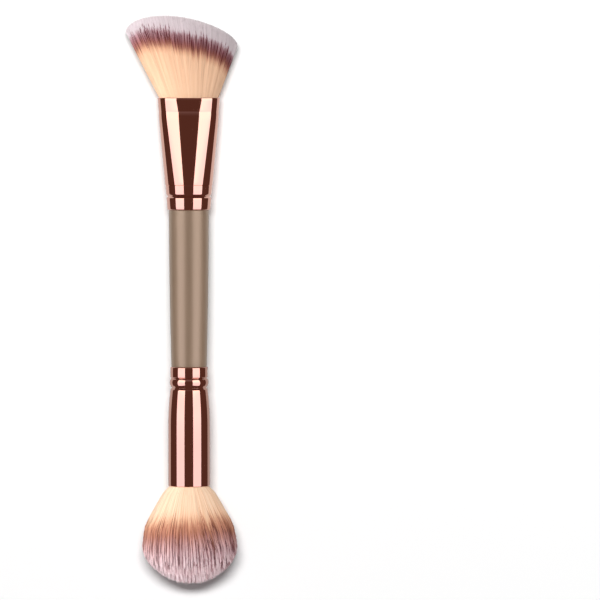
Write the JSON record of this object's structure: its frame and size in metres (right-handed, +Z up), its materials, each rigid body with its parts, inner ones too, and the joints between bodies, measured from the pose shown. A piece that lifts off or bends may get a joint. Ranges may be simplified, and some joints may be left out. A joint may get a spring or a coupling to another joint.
{
  "type": "double ended makeup brush",
  "caption": "Makeup brush with a slender handle between an angled contour head in a pressed oval ferrule and a domed powder head in a round ferrule.",
  "frame": {"origin": "on the resting surface, under the middle of the whole brush's bounding box", "axes": "+Y along the brush towards the angled head, +X across it towards the short side of that head, +Z up from the resting surface"},
  "size_m": [0.0376, 0.1894, 0.0329],
  "materials": {
    "handle_lacquer": "satin taupe lacquer on turned wood",
    "rose_gold_sheet": "polished rose gold plating",
    "dyed_filament": "fine synthetic filament, dyed cream, plum and pale lilac from root to tip",
    "epoxy": "cured epoxy"
  },
  "bodies": {
    "root": {"handle": "handle_lacquer", "angled_ferrule": "rose_gold_sheet", "round_ferrule": "rose_gold_sheet", "angled_bristles": "dyed_filament", "round_bristles": "dyed_filament", "angled_glue_plug": "epoxy", "round_glue_plug": "epoxy"}
  },
  "joints": []
}
